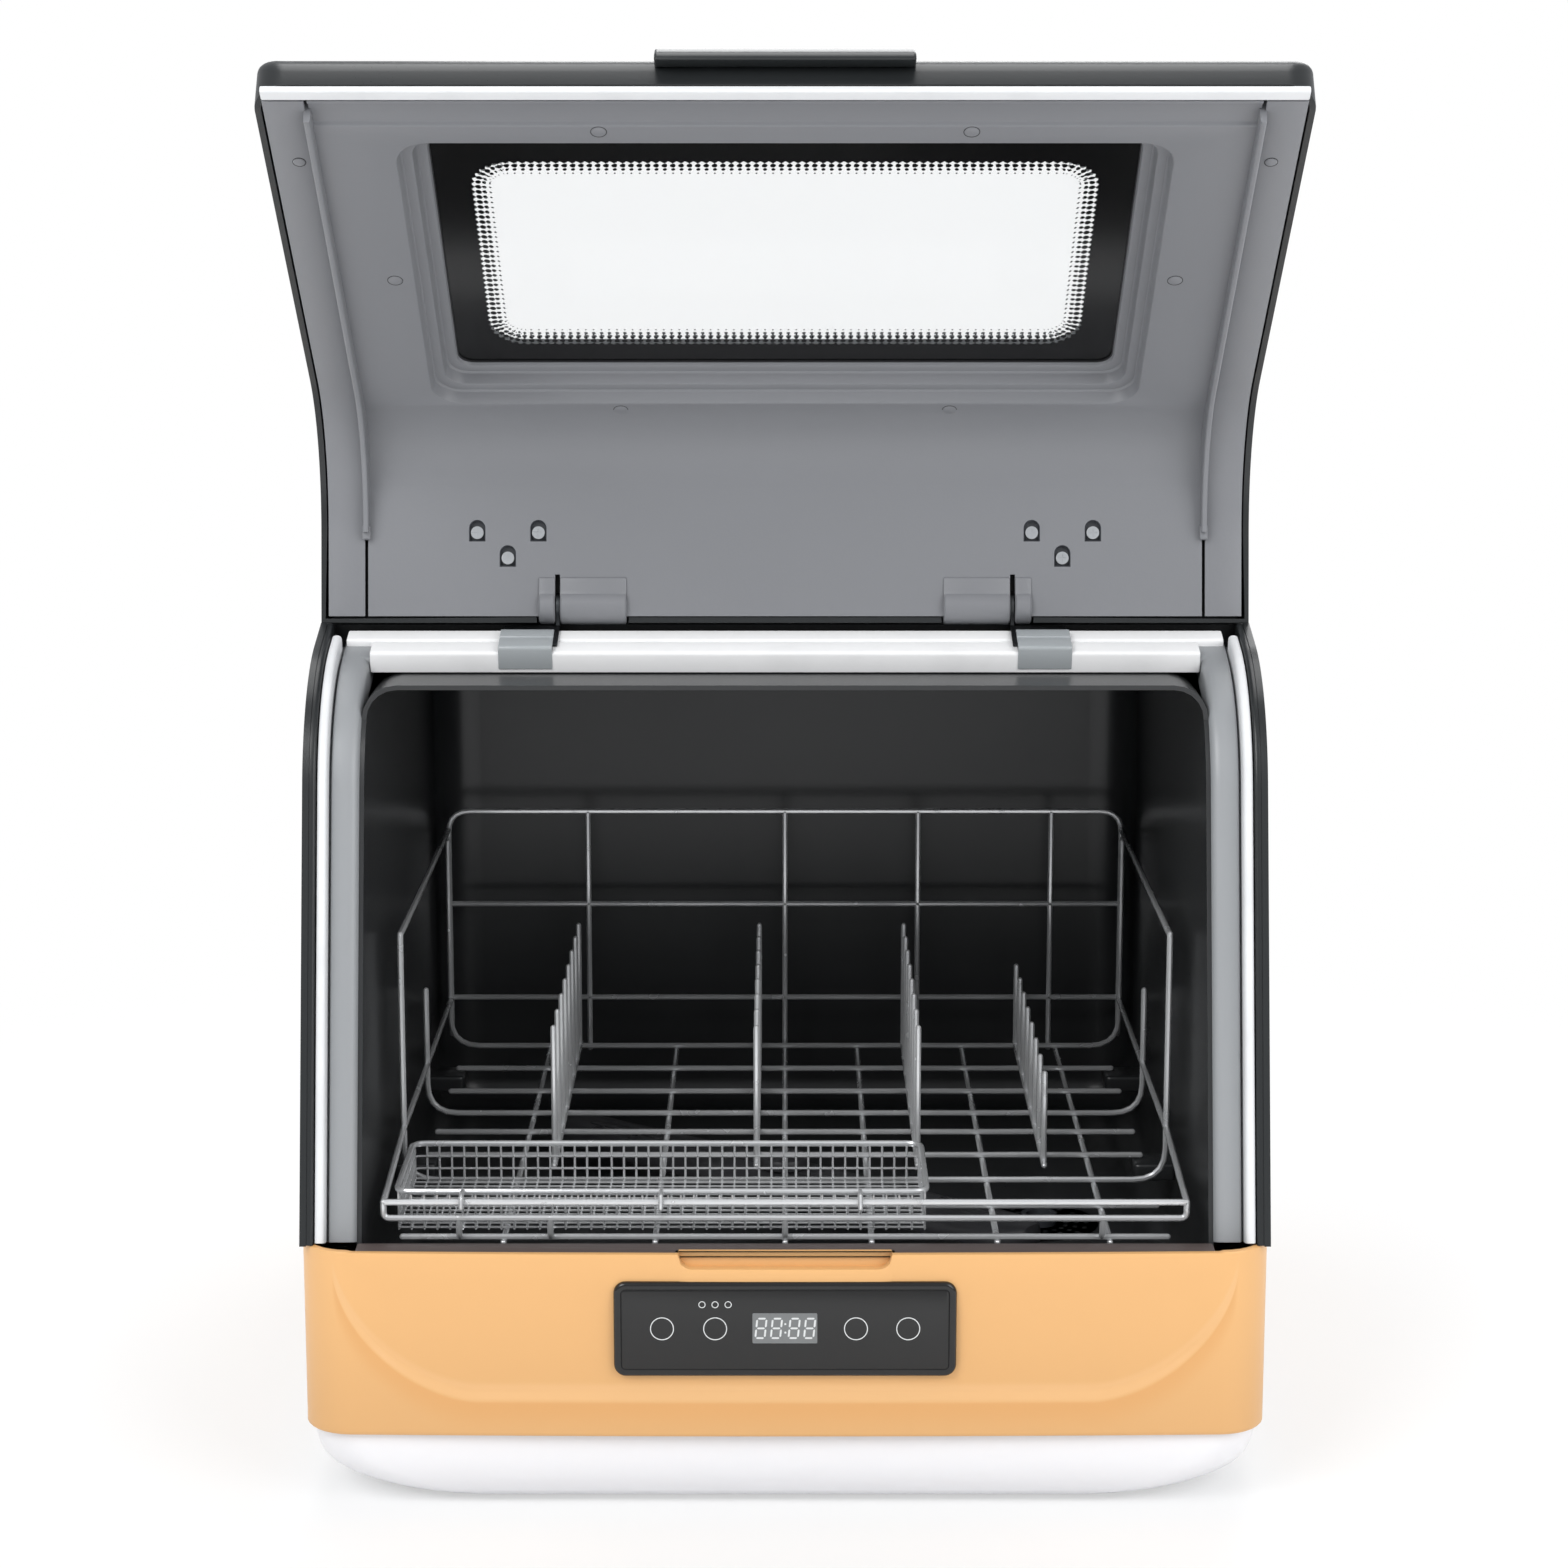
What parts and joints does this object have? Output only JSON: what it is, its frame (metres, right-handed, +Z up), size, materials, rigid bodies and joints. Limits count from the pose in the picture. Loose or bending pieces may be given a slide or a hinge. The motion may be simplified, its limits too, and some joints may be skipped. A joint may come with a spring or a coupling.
{
  "type": "countertop dishwasher",
  "caption": "Compact countertop dishwasher with an upward-opening clamshell lid with a window, wire dish rack, cutlery basket, spray arm and touch control panel.",
  "frame": {"origin": "on the floor, under the middle of the bounding box with the lid open", "axes": "+X to the machine's left side as seen from behind (right as seen from the front), +Y from front to back, +Z up"},
  "size_m": [0.44, 0.5105, 0.6586],
  "materials": {
    "white_plastic": "smooth white moulding",
    "orange_plastic": "satin pastel orange",
    "black_plastic": "glossy black",
    "liner_grey": "satin mid grey",
    "frame_grey": "satin light grey",
    "tub_dark": "dark satin",
    "seal_white": "soft white seal",
    "rubber_dark": "matt dark rubber",
    "panel_black": "gloss black touch panel",
    "display_grey": "display lens",
    "board_green": "circuit board",
    "glass_clear": "clear tempered glass",
    "wire_steel": "bright stainless wire",
    "steel": "plain steel",
    "steel_dark": "dark coated steel",
    "clip_grey": "light grey clip",
    "part_dark": "dark technical plastic",
    "part_light": "pale technical plastic",
    "trim_brown": "dark brown-grey trim",
    "arm_dark": "dark grey spray arm"
  },
  "bodies": {
    "base": {"base_tray": "white_plastic", "feet": "rubber_dark", "lower_casing": "orange_plastic", "upper_casing": "black_plastic", "front_trim": "trim_brown", "rear_cover": "black_plastic", "rear_cover_screws": "steel", "panel_housing": "black_plastic", "touch_panel": "panel_black", "display": "display_grey", "control_board": "board_green", "power_board": "board_green", "tub": "tub_dark", "opening_frame": "frame_grey", "side_seals": "seal_white", "rear_seal": "seal_white", "spray_riser": "part_dark", "sump": "part_dark", "heater": "steel", "wash_pump_housing": "part_dark", "wash_pump_motor": "steel", "drain_pump_housing": "part_dark", "drain_pump_motor": "steel", "fan_housing": "part_dark", "fan_duct": "part_dark", "inlet_valve": "part_light", "drain_outlet": "part_light", "power_gland": "rubber_dark", "hoses": "rubber_dark", "lid_switch": "part_dark", "hinge_arms": "steel_dark", "hinge_pins": "steel", "hinge_clips": "clip_grey", "hinge_springs": "steel"},
    "lid": {"lid_shell": "black_plastic", "lid_liner": "liner_grey", "window_glass": "glass_clear", "window_gasket": "rubber_dark", "lid_front_seal": "seal_white", "lid_handle": "black_plastic", "lid_screws": "steel", "lid_plugs": "liner_grey", "lid_magnet": "steel"},
    "spray_arm": {"spray_arm": "arm_dark", "spray_hub": "part_dark"},
    "filter": {"filter_cover": "part_dark", "filter_cup": "steel"},
    "wash_impeller": {"wash_pump_impeller": "part_light"},
    "drain_impeller": {"drain_pump_impeller": "part_light"},
    "fan_rotor": {"fan_wheel": "part_light"},
    "rack": {"rack_floor": "wire_steel", "rack_rear": "wire_steel", "rack_sides": "wire_steel", "rack_front": "wire_steel", "rack_tines": "wire_steel"},
    "basket": {"basket_floor": "wire_steel", "basket_walls": "wire_steel", "basket_rim": "wire_steel"}
  },
  "joints": [
    {"name": "lid_hinge", "type": "hinge", "parent": "base", "child": "lid", "pos_m": [0, -0.06841, 0.39791], "axis": [-1, 0, 0], "range_deg": [-115.5, 0]},
    {"name": "rack_slide", "type": "slide", "parent": "base", "child": "rack", "axis": [0, -0.9205, 0.3907], "range_m": [0, 0.42]},
    {"name": "basket_lift", "type": "slide", "parent": "rack", "child": "basket", "axis": [0, 0, 1], "range_m": [0, 0.12]},
    {"name": "filter_lift", "type": "slide", "parent": "base", "child": "filter", "axis": [0, 0, 1], "range_m": [0, 0.03]},
    {"name": "spray_arm_spin", "type": "hinge", "parent": "base", "child": "spray_arm", "pos_m": [0, -0.00006, 0.095], "axis": [0, 0, 1], "continuous": true},
    {"name": "wash_impeller_spin", "type": "hinge", "parent": "base", "child": "wash_impeller", "pos_m": [0.0598, -0.02506, 0.048], "axis": [1, 0, 0], "continuous": true},
    {"name": "drain_impeller_spin", "type": "hinge", "parent": "base", "child": "drain_impeller", "pos_m": [0.128, 0.04314, 0.048], "axis": [0, 1, 0], "continuous": true},
    {"name": "fan_spin", "type": "hinge", "parent": "base", "child": "fan_rotor", "pos_m": [-0.06, 0.08494, 0.3892], "axis": [0, 0, 1], "continuous": true}
  ]
}
